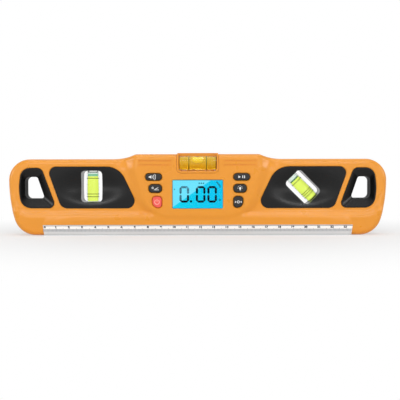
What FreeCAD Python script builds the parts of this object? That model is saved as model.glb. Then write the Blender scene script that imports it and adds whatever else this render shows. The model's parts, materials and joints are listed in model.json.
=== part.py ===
import FreeCAD, Part
import math
import os

V = FreeCAD.Vector

# A digital spirit level. X runs along it, the display faces -Y, and the base rail rests on Z = 0.
# The parting plane between the two shells is Y = 0. All sizes are millimetres.

# Housing outline, seen from the front
HALF_LENGTH = 144.1
END_TOP = 58.1
CENTRE_TOP = 61.8
FOOT_GAP = 0.3
TOP_CORNER_R = 16.0
SIDE_R = 100.0
LOW_CORNER_R = 16.8
STEP_OUTER_X = 64.3
STEP_CONCAVE_R = 42.0
STEP_CONVEX_R = 6.0
EDGE_R = 3.5
WALL = 2.2

# Relief of both faces, as distances from the parting plane
END_DEPTH = 11.0
BAND_DEPTH = 13.0
BOSS_DEPTH = 14.0
BAND_TOP = 16.5
BAND_BLEND = 5.0
BAND_TURN_FROM_END = 17.0
BAND_TURN_R = 12.0
BAND_FADE_START = 22.0
BAND_FADE_HEIGHT = 14.0
BOSS_FOOT_X = 35.7
BOSS_FOOT_Z = 16.0
BOSS_SPLAY = 0.277
BOSS_CORNER_R = 14.0
BOSS_SIDE_BLEND = 11.0
BOSS_LOW_BLEND = 4.5
SHOULDER_X = 54.5
SHOULDER_HALF_WIDTH = 11.0
SHOULDER_HEIGHT = 9.0
SHOULDER_DROP = 1.7

# Base rail, an aluminium extrusion with a tee that the shells close round
RAIL_FOOT_LENGTH = 26.4
RAIL_END_SLOPE = 1.2
RAIL_HEIGHT = 8.0
RAIL_HALF_DEPTH = 13.5
GROOVE_HALF_WIDTH = 8.0
GROOVE_FLAT_HALF = 4.0
GROOVE_DEPTH = 4.6
TEE_NECK_HALF = 3.0
TEE_HEAD_HALF = 6.0
TEE_HEAD_HEIGHT = 1.8
STRIP_THICKNESS = 0.4
STRIP_PROUD = 0.1
STRIP_MARGIN = 0.4
MAGNET_R = 3.5
MAGNET_THICKNESS = 2.2
MAGNET_PITCH = 48.0
MAGNETS_EACH_SIDE = 2

# Clearances
FIT = 0.15
MOVING_GAP = 0.3
SEAT_FIT = 0.05

# Hand holes at the ends and their liners
LINER_END_MARGIN = 7.9
LINER_TOP_MARGIN = 6.7
LINER_BOTTOM = 20.9
LINER_TOP_WIDTH = 17.3
LINER_BOTTOM_WIDTH = 28.5
LINER_BULGE = 1.8
LINER_BULGE_R = 40.0
LINER_OUTER_TOP_R = 7.5
LINER_OUTER_LOW_R = 8.6
LINER_INNER_TOP_R = 4.8
LINER_INNER_LOW_R = 3.8
HOLE_END_MARGIN = 4.1
HOLE_TOP_MARGIN = 6.8
HOLE_LOW_MARGIN = 7.1
HOLE_TOP_WIDTH = 9.4
HOLE_BOTTOM_WIDTH = 15.1
HOLE_OUTER_R = 3.6
HOLE_INNER_R = 2.0
LINER_RECESS = 0.4
LINER_LIP = 0.9
BEVEL_DEPTH = 4.2
FLANGE_WIDTH = 1.5
FLANGE_THICKNESS = 1.5
OPENING_CHAMFER = 0.5
FLARE = 1.0

# Black vial panels
BAR_WIDTH = 3.9
PANEL_SIDE_SLOPE = 0.356
PANEL_TOP_MARGIN = 5.8
PANEL_BOTTOM = 20.7
PANEL_INNER_LOW_GAP = 7.8
PANEL_INNER_SLOPE = 0.4775
PANEL_OUTER_TOP_R = 5.0
PANEL_OUTER_LOW_R = 6.5
PANEL_INNER_LOW_R = 5.8
PANEL_INNER_TOP_R = 15.5
PANEL_RECESS = 0.4
PANEL_THICKNESS = 5.0
DISH_DEPTH = 3.2
DISH_HALF_WIDTH = 33.0
DISH_HALF_HEIGHT = 17.0

# Through windows with the plumb and the 45 degree vial
PLUMB_WINDOW_SHIFT = (0.0, 0.8)
SLANT_WINDOW_SHIFT = (0.5, 0.0)
WINDOW_WIDTH = 16.0
WINDOW_LENGTH = 24.0
WINDOW_R = 3.0
WINDOW_WALL = 3.0
SIDE_VIAL_SEAT = 1.8
SIDE_VIAL_R = 4.7
PLUMB_VIAL_RINGS = (6.2, -5.9, -8.0)
SLANT_VIAL_RINGS = (5.9, -4.2, -5.8, -7.7)
PLUMB_ANGLE = 90.0
SLANT_ANGLE = -45.0

# Level vial in the top and its cradle
CRADLE_OPENING = 29.0
CRADLE_WALL = 1.4
CRADLE_PROUD = 0.4
CRADLE_RISE = 1.1
CRADLE_R = 2.2
CRADLE_RIM_R = 0.4
CRADLE_DROP = 13.0
LEVEL_VIAL_DROP = 6.9
LEVEL_VIAL_R = 5.4
LEVEL_VIAL_SEAT = 0.8
LEVEL_VIAL_RINGS = (-6.75, 6.75)
VIAL_WALL = 1.1
VIAL_BARREL = 0.3
SIDE_VIAL_END = 2.4
SIDE_VIAL_PLUG = 3.4
SIDE_VIAL_PLUG_DROP = 2.6
LEVEL_VIAL_END = 1.4
PLUMB_AIR = 0.9
SLANT_AIR = 2.4
RING_WIDTH = 0.5
RING_THICKNESS = 0.12
BUBBLE_R = 2.4
BUBBLE_END_R = 1.2
BUBBLE_HALF_LENGTH = 4.0
BUBBLE_PRESS = 0.2

# Grooves each side of the level vial
GROOVE_DROPS = (5.1, 8.2)
GROOVE_GAP_FROM_CRADLE = 3.9
GROOVE_OUTER_X = 45.0
GROOVE_HEIGHT = 0.9
GROOVE_CUT = 0.5

# Display stack behind the front boss
DISPLAY_WIDTH = 38.3
DISPLAY_HEIGHT = 21.6
DISPLAY_CENTRE_DROP = 30.5
DISPLAY_CORNER_R = 0.8
LENS_STEP = 1.5
LENS_FLANGE = 0.8
LENS_RECESS = 0.1
GLASS_MARGIN = 1.5
GLASS_THICKNESS = 1.8
BACKLIGHT_THICKNESS = 2.6
STACK_GAP = 0.1
FRAME_WALL = 1.2
BOARD_FRONT_Y = -5.8
BOARD_THICKNESS = 1.6
BOARD_HALF_WIDTH = 39.5
BOARD_MARGIN_TOP = 0.9
BOARD_BOTTOM = 15.2
POST_R = 1.7
BOARD_SCREW_R = 1.0
BOARD_SCREW_HEAD_R = 1.7
BOARD_SCREW_HEAD = 1.2
BOARD_SCREW_GRIP = 3.0
LOW_POST_X = 36.8
LOW_POST_RISE = 2.4
HIGH_POST_GAP = 2.0
HIGH_POST_DROP = 1.8
POCKET_RISE = 1.2
POCKET_SHOULDER_RISE = 4.0
POCKET_WAIST_RISE = 22.0
POCKET_TUCK = 12.0
POCKET_SHOULDER_REACH = 1.8
POCKET_WAIST_REACH = 5.8
POCKET_R = 2.0
POCKET_TOP_R = 1.0

# Six push buttons in two mirrored columns: offset from the display centre, size, corner radii
BUTTON_COLUMN_X = 27.35
BUTTON_ROWS = (13.2, 4.45, -5.8)
BUTTON_WIDTHS = (12.1, 9.6, 6.9)
BUTTON_HEIGHTS = (5.0, 6.0, 8.3)
BUTTON_RADII = ((2.4, 2.4, 2.4, 2.4), (2.6, 2.6, 2.6, 2.6), (2.4, 2.4, 2.4, 4.3))
BUTTON_PROUD = 0.9
BUTTON_EDGE_R = 0.6
BUTTON_FLANGE = 0.8
BUTTON_FLANGE_THICKNESS = 0.8
BUTTON_STEM_R = 1.5
BUTTON_TRAVEL = 0.6
SWITCH_SIZE = 3.6
SWITCH_HEIGHT = 1.5
SWITCH_PLUNGER_R = 0.9
SWITCH_PLUNGER = 0.3
STRIKE_GAP = 0.1

# Electronics on the back of the board
SENSOR_SIZE = 5.0
SENSOR_HEIGHT = 1.5
SENSOR_X = 8.0
CONTROLLER_SIZE = 9.0
CONTROLLER_HEIGHT = 1.4
CONTROLLER_X = -8.0
BUZZER_R = 6.0
BUZZER_HEIGHT = 3.0
BUZZER_PORT_R = 1.0
BUZZER_X = -33.0

# Battery bay behind the rear boss
BATTERY_R = 5.15
BATTERY_LENGTH = 43.5
BATTERY_NUB_R = 1.9
BATTERY_NUB = 1.0
BATTERY_PITCH = 11.0
BATTERY_LIFT = 0.3
BAY_END_SPACE = 3.0
TRAY_WALL = 1.1
TRAY_FRONT_Y = -0.8
TRAY_FLANGE = 1.4
TERMINAL_THICKNESS = 0.4
TERMINAL_HALF_DEPTH = 4.1
TERMINAL_MARGIN = 1.0
SPRING_R = 2.2
SPRING_WIRE_R = 0.3
SPRING_PITCH = 0.75
SPRING_GAP = 0.1
LEDGE_THICKNESS = 1.2
LEDGE_WIDTH = 2.6
LEDGE_LAP = 1.0
DOOR_CORNER_R = 4.0
DOOR_RIB_PITCH = 2.2
DOOR_RIBS = 5
DOOR_RIB_LENGTH = 14.0
DOOR_RIB_HEIGHT = 0.9
DOOR_RIB_WIDTH = 0.9
DOOR_RIB_DROP = 2.4
DOOR_NOTCH_R = 5.5
DOOR_NOTCH_DEPTH = 1.0

# Shell screws
SCREW_R = 1.3
SCREW_HEAD_R = 2.4
SCREW_HEAD = 1.8
SCREW_HEAD_Y = 8.0
SCREW_TIP_Y = -6.5
SCREW_BOSS_R = 3.0
SCREW_SLOT = 0.6
SCREW_SLOT_DEPTH = 0.9
SCREW_SLOT_SPAN = 0.62
END_SCREW_MARGIN = 17.0
END_SCREW_Z = 12.5
HIGH_SCREW_X = 50.0
HIGH_SCREW_DROP = 7.5
LOW_SCREW_X = 46.0
LOW_SCREW_Z = 16.0

# Fineness of the shaped faces, how far they run past what they cut, and the least straight between arcs
RELIEF_COLUMNS = 117
RELIEF_ROWS = 42
RELIEF_MARGIN = 5.0
DISH_COLUMNS = 25
DISH_ROWS = 15
DISH_MARGIN = 2.0
LEAST_STRAIGHT = 0.04

# How far cutters reach right through the body, and how far they run past a face they start at
REACH = 40.0
OVERRUN = 1.0

# Levels worked out from the sizes above
INNER_DEPTH = END_DEPTH - WALL
BOSS_INNER = BOSS_DEPTH - WALL
RAIL_HALF_LENGTH = HALF_LENGTH - RAIL_FOOT_LENGTH
FLOOR_UNDER = RAIL_HEIGHT + FIT
FLOOR_TOP = FLOOR_UNDER + WALL
CRADLE_FLOOR = CENTRE_TOP - CRADLE_DROP
CRADLE_UNDER = CRADLE_FLOOR - CRADLE_WALL
CRADLE_HALF = CRADLE_OPENING / 2 + CRADLE_WALL
CRADLE_REAR_Y = INNER_DEPTH - FIT
LEVEL_VIAL_Z = CENTRE_TOP - LEVEL_VIAL_DROP
DISPLAY_Z = CENTRE_TOP - DISPLAY_CENTRE_DROP
BOARD_BACK_Y = BOARD_FRONT_Y + BOARD_THICKNESS
LENS_BACK_Y = -BOSS_INNER + LENS_FLANGE
GLASS_BACK_Y = LENS_BACK_Y + STACK_GAP + GLASS_THICKNESS
BACKLIGHT_BACK_Y = GLASS_BACK_Y + STACK_GAP + BACKLIGHT_THICKNESS
BAY_HALF_LENGTH = (BATTERY_LENGTH + BATTERY_NUB + BAY_END_SPACE) / 2
BAY_HALF_HEIGHT = BATTERY_PITCH / 2 + BATTERY_R + FIT
BATTERY_Y = TRAY_FRONT_Y + TRAY_WALL + BATTERY_LIFT + BATTERY_R
LEDGE_BACK_Y = BOSS_INNER - MOVING_GAP
LEDGE_FRONT_Y = LEDGE_BACK_Y - LEDGE_THICKNESS
LEDGE_HALF_LENGTH = BAY_HALF_LENGTH + TRAY_WALL
LEDGE_HALF_HEIGHT = BAY_HALF_HEIGHT + TRAY_WALL
DOOR_HALF_LENGTH = LEDGE_HALF_LENGTH + LEDGE_WIDTH
DOOR_HALF_HEIGHT = LEDGE_HALF_HEIGHT + LEDGE_WIDTH / 2


# ---------------------------------------------------------------- general shapes

def line_edge(start, end):
    return Part.makeLine(V(start[0], 0, start[1]), V(end[0], 0, end[1]))


def arc_edge(centre, radius, start, end):
    """Arc in the XZ plane about (x, z), between two angles in radians."""
    def point(angle):
        return V(centre[0] + radius * math.cos(angle), 0, centre[1] + radius * math.sin(angle))
    return Part.Arc(point(start), point((start + end) / 2), point(end)).toShape()


def corner_arc(before, corner, after, radius):
    """Start, middle and end of the arc that rounds one corner of an outline."""
    back = (before - corner).normalize()
    ahead = (after - corner).normalize()
    half_angle = back.getAngle(ahead) / 2
    reach = radius / math.tan(half_angle)
    bisector = (back + ahead).normalize()
    middle = corner + bisector * (radius / math.sin(half_angle) - radius)
    return corner + back * reach, middle, corner + ahead * reach


def rounded_outline(corners):
    """Closed wire in the XZ plane through (x, z, radius) corners."""
    points = [V(x, 0, z) for x, z, radius in corners]
    count = len(points)
    arcs = []
    for index in range(count):
        radius = corners[index][2]
        arcs.append(corner_arc(points[index - 1], points[index], points[(index + 1) % count], radius))
    edges = []
    for index, (start, middle, end) in enumerate(arcs):
        edges.append(Part.Arc(start, middle, end).toShape())
        edges.append(Part.makeLine(end, arcs[(index + 1) % count][0]))
    return Part.Wire(edges)


def rounded_rectangle(x, z, half_width, half_height, radius):
    return rounded_outline([
        (x - half_width, z - half_height, radius),
        (x + half_width, z - half_height, radius),
        (x + half_width, z + half_height, radius),
        (x - half_width, z + half_height, radius),
    ])


def prism(outline, y_from, y_to):
    """An outline in the XZ plane, extruded between two depths."""
    face = Part.Face(outline)
    face.translate(V(0, y_from, 0))
    return face.extrude(V(0, y_to - y_from, 0))


def block(x_low, x_high, y_low, y_high, z_low, z_high):
    return Part.makeBox(x_high - x_low, y_high - y_low, z_high - z_low, V(x_low, y_low, z_low))


def rod(x, z, radius, y_from, y_to):
    """A cylinder along Y."""
    return Part.makeCylinder(radius, y_to - y_from, V(x, y_from, z), V(0, 1, 0))


def mirror_x(shape):
    return shape.mirror(V(0, 0, 0), V(1, 0, 0))


def mirror_y(shape):
    return shape.mirror(V(0, 0, 0), V(0, 1, 0))


def both_sides(shape):
    return [shape, mirror_x(shape)]


def smooth_step(value):
    """0 below 0, 1 above 1, and a curve with flat ends between."""
    t = max(0.0, min(1.0, value))
    return t * t * t * (t * (6 * t - 15) + 10)


def shaped_cutter(depth_at, x_span, z_span, columns, rows):
    """All that lies in front of the face y = -depth_at(x, z)."""
    grid = []
    for column in range(columns):
        x = x_span[0] + (x_span[1] - x_span[0]) * column / (columns - 1)
        heights = [z_span[0] + (z_span[1] - z_span[0]) * row / (rows - 1) for row in range(rows)]
        grid.append([V(x, -depth_at(x, z), z) for z in heights])
    surface = Part.BSplineSurface()
    surface.interpolate(grid)
    return surface.toShape().extrude(V(0, -REACH, 0))


def save(name, shape):
    os.makedirs("parts", exist_ok=True)
    shape.exportStep("parts/" + name + ".step")


# ---------------------------------------------------------------- outlines

def housing_outline(inset):
    """Front view of the housing, moved inwards by inset."""
    corner_z = END_TOP - TOP_CORNER_R
    top_centre = (HALF_LENGTH - TOP_CORNER_R, corner_z)
    side_centre = (HALF_LENGTH - SIDE_R, corner_z)
    low_z = FOOT_GAP + LOW_CORNER_R
    low_x = side_centre[0] + math.sqrt((SIDE_R - LOW_CORNER_R) ** 2 - (corner_z - low_z) ** 2)
    low_angle = math.atan2(low_z - corner_z, low_x - side_centre[0])
    step_radii = STEP_CONCAVE_R + STEP_CONVEX_R
    sweep = math.acos(1 - (CENTRE_TOP - END_TOP) / step_radii)
    convex_x = STEP_OUTER_X - step_radii * math.sin(sweep)
    base = FOOT_GAP + inset
    right = [
        line_edge((0, base), (low_x, base)),
        arc_edge((low_x, low_z), LOW_CORNER_R - inset, -math.pi / 2, low_angle),
        arc_edge(side_centre, SIDE_R - inset, low_angle, 0),
        arc_edge(top_centre, TOP_CORNER_R - inset, 0, math.pi / 2),
        line_edge((top_centre[0], END_TOP - inset), (STEP_OUTER_X, END_TOP - inset)),
        arc_edge((STEP_OUTER_X, END_TOP + STEP_CONCAVE_R), STEP_CONCAVE_R + inset,
                 -math.pi / 2, -math.pi / 2 - sweep),
        arc_edge((convex_x, CENTRE_TOP - STEP_CONVEX_R), STEP_CONVEX_R - inset,
                 math.pi / 2 - sweep, math.pi / 2),
        line_edge((convex_x, CENTRE_TOP - inset), (0, CENTRE_TOP - inset)),
    ]
    left = [mirror_x(edge) for edge in right]
    return Part.Wire(Part.__sortEdges__(right + left))


def liner_outline():
    """Opening in the left end of the shells, filled by the liner."""
    outer = -HALF_LENGTH + LINER_END_MARGIN
    top = END_TOP - LINER_TOP_MARGIN
    return rounded_outline([
        (outer + LINER_BULGE, LINER_BOTTOM, LINER_OUTER_LOW_R),
        (outer + LINER_BOTTOM_WIDTH, LINER_BOTTOM, LINER_INNER_LOW_R),
        (outer + LINER_TOP_WIDTH, top, LINER_INNER_TOP_R),
        (outer + LINER_BULGE, top, LINER_OUTER_TOP_R),
        (outer, (LINER_BOTTOM + top) / 2, LINER_BULGE_R),
    ])


def hand_hole_outline():
    """Free hole through the left liner."""
    outer = -HALF_LENGTH + LINER_END_MARGIN + HOLE_END_MARGIN
    bottom = LINER_BOTTOM + HOLE_LOW_MARGIN
    top = END_TOP - LINER_TOP_MARGIN - HOLE_TOP_MARGIN
    return rounded_outline([
        (outer, bottom, HOLE_OUTER_R),
        (outer + HOLE_BOTTOM_WIDTH, bottom, HOLE_INNER_R),
        (outer + HOLE_TOP_WIDTH, top, HOLE_INNER_R),
        (outer, top, HOLE_OUTER_R),
    ])


def panel_corners():
    """Corners of the left panel opening, as (x, z, radius)."""
    top = END_TOP - PANEL_TOP_MARGIN
    height = top - PANEL_BOTTOM
    outer_top = -HALF_LENGTH + LINER_END_MARGIN + LINER_TOP_WIDTH + BAR_WIDTH
    inner_low = -BOSS_FOOT_X - PANEL_INNER_LOW_GAP - BOSS_SPLAY * (PANEL_BOTTOM - BOSS_FOOT_Z)
    return [
        (outer_top + PANEL_SIDE_SLOPE * height, PANEL_BOTTOM, PANEL_OUTER_LOW_R),
        (inner_low, PANEL_BOTTOM, PANEL_INNER_LOW_R),
        (inner_low - PANEL_INNER_SLOPE * height, top, PANEL_INNER_TOP_R),
        (outer_top, top, PANEL_OUTER_TOP_R),
    ]


def panel_outline():
    return rounded_outline(panel_corners())


def window_centre(shift):
    """Middle of a vial window in the left panel, moved off the panel's own middle."""
    corners = panel_corners()
    x = sum(corner[0] for corner in corners) / len(corners)
    z = sum(corner[1] for corner in corners) / len(corners)
    return x + shift[0], z + shift[1]


def window_outline(centre, angle, grow):
    """Window round a vial whose axis lies at an angle to X."""
    x, z = centre
    outline = rounded_rectangle(x, z, WINDOW_LENGTH / 2 + grow, WINDOW_WIDTH / 2 + grow, WINDOW_R + grow)
    outline.rotate(V(x, 0, z), V(0, 1, 0), -angle)
    return outline


def pocket_outline():
    """Space behind the boss, inside its splayed sides."""
    low = BOSS_FOOT_Z + POCKET_RISE
    top = DISPLAY_Z + BUTTON_ROWS[0] + BUTTON_HEIGHTS[0] / 2 + BUTTON_FLANGE + MOVING_GAP
    right = [
        (BOSS_FOOT_X - POCKET_TUCK, low, POCKET_R),
        (BOSS_FOOT_X + POCKET_SHOULDER_REACH, low + POCKET_SHOULDER_RISE, POCKET_R),
        (BOSS_FOOT_X + POCKET_WAIST_REACH, low + POCKET_WAIST_RISE, POCKET_R),
        (BOSS_FOOT_X + POCKET_WAIST_REACH, top, POCKET_TOP_R),
    ]
    left = [(-x, z, radius) for x, z, radius in reversed(right)]
    return rounded_outline(right + left)


def button_outline(row, grow):
    """One button of the left column, grown all round by a clearance."""
    z = DISPLAY_Z + BUTTON_ROWS[row]
    half_height = BUTTON_HEIGHTS[row] / 2 + grow
    x_inner = -BUTTON_COLUMN_X + grow
    x_outer = -BUTTON_COLUMN_X - BUTTON_WIDTHS[row] - grow
    radii = [radius + grow for radius in BUTTON_RADII[row]]
    return rounded_outline([
        (x_inner, z - half_height, radii[0]),
        (x_inner, z + half_height, radii[1]),
        (x_outer, z + half_height, radii[2]),
        (x_outer, z - half_height, radii[3]),
    ])


def door_outline(grow):
    return rounded_rectangle(0, DISPLAY_Z, DOOR_HALF_LENGTH + grow, DOOR_HALF_HEIGHT + grow,
                             DOOR_CORNER_R + grow)


def screw_places():
    """(x, z) of the shell screws on the left; the right ones mirror them."""
    return [
        (-HALF_LENGTH + END_SCREW_MARGIN, END_SCREW_Z),
        (-HIGH_SCREW_X, CENTRE_TOP - HIGH_SCREW_DROP),
        (-LOW_SCREW_X, LOW_SCREW_Z),
    ]


def post_places():
    """(x, z) of the board posts on the left; the right ones mirror them."""
    frame_half = DISPLAY_WIDTH / 2 + GLASS_MARGIN + FRAME_WALL
    return [
        (-LOW_POST_X, BOARD_BOTTOM + LOW_POST_RISE),
        (-frame_half - HIGH_POST_GAP, CRADLE_UNDER - BOARD_MARGIN_TOP - HIGH_POST_DROP),
    ]


# ---------------------------------------------------------------- shells

def face_depth(x, z):
    """Distance of the moulded face from the parting plane."""
    x = abs(x)
    turn_x = HALF_LENGTH - BAND_TURN_FROM_END
    turn_z = BAND_TOP + BAND_TURN_R
    above_band = z - BAND_TOP
    if x > turn_x:
        above_band = min(above_band, BAND_TURN_R - math.hypot(x - turn_x, min(0, z - turn_z)))
        fade = 1 - smooth_step((z - BAND_FADE_START) / BAND_FADE_HEIGHT)
    else:
        fade = 1
    band = fade * smooth_step(0.5 - above_band / BAND_BLEND)
    depth = END_DEPTH + (BAND_DEPTH - END_DEPTH) * band
    side_x = BOSS_FOOT_X + BOSS_SPLAY * (z - BOSS_FOOT_Z)
    beyond_side = (x - side_x) * math.cos(math.atan(BOSS_SPLAY))
    below_foot = BOSS_FOOT_Z - z
    if beyond_side > -BOSS_CORNER_R and below_foot > -BOSS_CORNER_R:
        across = beyond_side + BOSS_CORNER_R
        down = below_foot + BOSS_CORNER_R
        outside = math.hypot(across, down) - BOSS_CORNER_R
        share = smooth_step(math.atan2(down, across) / (math.pi / 2))
    else:
        outside = max(beyond_side, below_foot)
        share = 0.0 if beyond_side > below_foot else 1.0
    blend = BOSS_SIDE_BLEND * (1 - share) + BOSS_LOW_BLEND * share
    boss = 1 - smooth_step(outside / blend)
    return depth + (BOSS_DEPTH - depth) * boss - shoulder_drop(x, z)


def shoulder_drop(x, z):
    """How much the face falls back under the step in the top edge, at either side of the boss."""
    along = 1 - smooth_step(abs(abs(x) - SHOULDER_X) / SHOULDER_HALF_WIDTH)
    up = smooth_step((z - END_TOP) / SHOULDER_HEIGHT + 1)
    return SHOULDER_DROP * along * up


def shell_blank():
    """Solid front half of the housing with its relief and rounded edge."""
    body = prism(housing_outline(0), 0, -BOSS_DEPTH - FLARE)
    half = HALF_LENGTH + RELIEF_MARGIN
    cutter = shaped_cutter(face_depth, (-half, half), (-RELIEF_MARGIN, CENTRE_TOP + RELIEF_MARGIN),
                           RELIEF_COLUMNS, RELIEF_ROWS)
    body = body.cut(cutter)
    shaped = [face for face in body.Faces if isinstance(face.Surface, Part.BSplineSurface)]
    return body.makeFillet(EDGE_R, shaped[0].Edges)


def shell_space():
    """Hollow of the front half, above the floor that rests on the rail."""
    hollow = prism(housing_outline(WALL), 0, -INNER_DEPTH)
    floor_half = RAIL_HALF_LENGTH + FIT + WALL
    floor = block(-floor_half, floor_half, -REACH, REACH, -REACH, FLOOR_TOP)
    feet = block(-HALF_LENGTH, HALF_LENGTH, -REACH, REACH, -REACH, GROOVE_DEPTH + WALL)
    return hollow.cut([floor, feet]).fuse(prism(pocket_outline(), 0, -BOSS_INNER))


def rail_space():
    """Room for the rail and its tee under and through the shell floor."""
    slot = rail_end_shape(FIT, -REACH, FLOOR_UNDER, REACH)
    neck_half = TEE_NECK_HALF + FIT
    neck = block(-RAIL_HALF_LENGTH - FIT, RAIL_HALF_LENGTH + FIT, -neck_half, neck_half, 0, FLOOR_TOP)
    return slot.fuse([neck, pipe_groove()])


def columns(places, radius, y_end):
    """Round columns left standing in the hollow of the front half, up to one depth."""
    standing = []
    for x, z in places:
        standing += both_sides(rod(x, z, radius, -REACH, y_end))
    return standing


def mouth(outline, gap, y_face):
    """Cutter for an opening: the outline with its gap, flared where it meets the moulded face."""
    spread = OPENING_CHAMFER + FLARE
    inner = outline.makeOffset2D(gap)
    outer = outline.makeOffset2D(gap + spread)
    straight = prism(inner, -REACH, 0)
    inner.translate(V(0, y_face + OPENING_CHAMFER, 0))
    outer.translate(V(0, y_face - FLARE, 0))
    return straight.fuse(Part.makeLoft([outer, inner], True, True))


def end_openings():
    """Cutters for the liner and the vial panel at both ends of the front half."""
    cuts = []
    for outline in (liner_outline(), panel_outline()):
        cuts += both_sides(mouth(outline, FIT, -END_DEPTH))
    return cuts


def cradle_space(grow):
    """Outer form of the cradle, grown all round by a clearance."""
    half = CRADLE_HALF + grow
    back = CRADLE_REAR_Y + grow
    low = CRADLE_UNDER - grow
    outline = rounded_outline([
        (-half, low, CRADLE_R + CRADLE_WALL + grow), (half, low, CRADLE_R + CRADLE_WALL + grow),
        (half, CENTRE_TOP + REACH, CRADLE_R), (-half, CENTRE_TOP + REACH, CRADLE_R),
    ])
    return prism(outline, -REACH, back)


def top_groove(drop):
    z = CENTRE_TOP - drop
    inner = CRADLE_HALF + GROOVE_GAP_FROM_CRADLE
    outline = rounded_rectangle(-(inner + GROOVE_OUTER_X) / 2, z, (GROOVE_OUTER_X - inner) / 2,
                                GROOVE_HEIGHT / 2, (GROOVE_HEIGHT - LEAST_STRAIGHT) / 2)
    return prism(outline, -BOSS_DEPTH + GROOVE_CUT, -REACH)


def front_shell(blank):
    standing = columns(screw_places(), SCREW_BOSS_R, 0) + columns(post_places(), POST_R, BOARD_FRONT_Y)
    cuts = [shell_space().cut(standing), rail_space(), cradle_space(FIT)] + end_openings()
    window = rounded_rectangle(0, DISPLAY_Z, DISPLAY_WIDTH / 2, DISPLAY_HEIGHT / 2, DISPLAY_CORNER_R)
    cuts.append(mouth(window, FIT, -BOSS_DEPTH))
    for row in range(len(BUTTON_ROWS)):
        cuts += both_sides(mouth(button_outline(row, 0), MOVING_GAP, -BOSS_DEPTH))
    for drop in GROOVE_DROPS:
        cuts += both_sides(top_groove(drop))
    for x, z in screw_places():
        cuts += both_sides(rod(x, z, SCREW_R, SCREW_TIP_Y, 0))
    for x, z in post_places():
        cuts += both_sides(rod(x, z, BOARD_SCREW_R, BOARD_FRONT_Y - BOARD_SCREW_GRIP, BOARD_FRONT_Y))
    return blank.cut(cuts[0].fuse(cuts[1:]))


def rear_shell(blank):
    """The same half turned to the rear, with the battery opening, its ledge and the screw seats."""
    ledge = prism(rounded_rectangle(0, DISPLAY_Z, DOOR_HALF_LENGTH + LEDGE_LAP, DOOR_HALF_HEIGHT + LEDGE_LAP,
                                    DOOR_CORNER_R), -LEDGE_BACK_Y, -LEDGE_FRONT_Y)
    standing = columns(screw_places(), SCREW_BOSS_R, 0) + [ledge]
    cuts = [shell_space().cut(standing), rail_space(), mirror_y(cradle_space(FIT))] + end_openings()
    inside = block(-REACH, REACH, -LEDGE_BACK_Y, REACH, 0, CENTRE_TOP)
    cuts.append(mouth(door_outline(0), MOVING_GAP, -BOSS_DEPTH).cut(inside))
    cuts.append(block(-LEDGE_HALF_LENGTH, LEDGE_HALF_LENGTH, -REACH, 0,
                      DISPLAY_Z - LEDGE_HALF_HEIGHT, DISPLAY_Z + LEDGE_HALF_HEIGHT))
    for x, z in screw_places():
        cuts += both_sides(rod(x, z, SCREW_R + FIT, -REACH, 0))
        cuts += both_sides(rod(x, z, SCREW_HEAD_R + FIT, -REACH, -SCREW_HEAD_Y))
    return mirror_y(blank.cut(cuts[0].fuse(cuts[1:])))


# ---------------------------------------------------------------- base rail

def rail_end_shape(grow, z_low, z_high, half_depth):
    """Front view of the rail, whose ends lean inwards towards the base, as a block."""
    top_half = RAIL_HALF_LENGTH + grow
    def half_at(z):
        return top_half - RAIL_END_SLOPE * (RAIL_HEIGHT - z) / RAIL_HEIGHT
    corners = [V(-half_at(z_low), 0, z_low), V(half_at(z_low), 0, z_low),
               V(half_at(z_high), 0, z_high), V(-half_at(z_high), 0, z_high)]
    return prism(Part.makePolygon(corners + corners[:1]), -half_depth, half_depth)


def pipe_groove():
    """The groove along the base, through the rail and the moulded feet."""
    start = -HALF_LENGTH - REACH
    below = -OVERRUN
    lean = (GROOVE_HALF_WIDTH - GROOVE_FLAT_HALF) / GROOVE_DEPTH
    low_half = GROOVE_HALF_WIDTH - below * lean
    section = [V(start, -low_half, below), V(start, -GROOVE_FLAT_HALF, GROOVE_DEPTH),
               V(start, GROOVE_FLAT_HALF, GROOVE_DEPTH), V(start, low_half, below)]
    return Part.Face(Part.makePolygon(section + section[:1])).extrude(V(-2 * start, 0, 0))


def magnet_places():
    return [index * MAGNET_PITCH for index in range(-MAGNETS_EACH_SIDE, MAGNETS_EACH_SIDE + 1)]


def base_rail():
    body = rail_end_shape(0, 0, RAIL_HEIGHT, RAIL_HALF_DEPTH)
    tee_length = RAIL_HALF_LENGTH - WALL
    head_low = FLOOR_TOP + FIT
    body = body.fuse([
        block(-tee_length, tee_length, -TEE_NECK_HALF, TEE_NECK_HALF, RAIL_HEIGHT, head_low),
        block(-tee_length, tee_length, -TEE_HEAD_HALF, TEE_HEAD_HALF, head_low, head_low + TEE_HEAD_HEIGHT),
    ])
    strip_seat = block(-HALF_LENGTH, HALF_LENGTH, -REACH, -RAIL_HALF_DEPTH + STRIP_THICKNESS - STRIP_PROUD,
                       STRIP_MARGIN, RAIL_HEIGHT - STRIP_MARGIN)
    pockets = [Part.makeCylinder(MAGNET_R, MAGNET_THICKNESS, V(x, 0, GROOVE_DEPTH)) for x in magnet_places()]
    return body.cut([pipe_groove(), strip_seat] + pockets)


def scale_strip():
    back = -RAIL_HALF_DEPTH + STRIP_THICKNESS - STRIP_PROUD
    band = block(-HALF_LENGTH, HALF_LENGTH, back - STRIP_THICKNESS, back, STRIP_MARGIN,
                 RAIL_HEIGHT - STRIP_MARGIN)
    return band.common(rail_end_shape(0, 0, RAIL_HEIGHT, REACH))


def rail_magnets():
    discs = [Part.makeCylinder(MAGNET_R, MAGNET_THICKNESS, V(x, 0, GROOVE_DEPTH)) for x in magnet_places()]
    return Part.makeCompound(discs)


# ---------------------------------------------------------------- liners and vial panels

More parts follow.
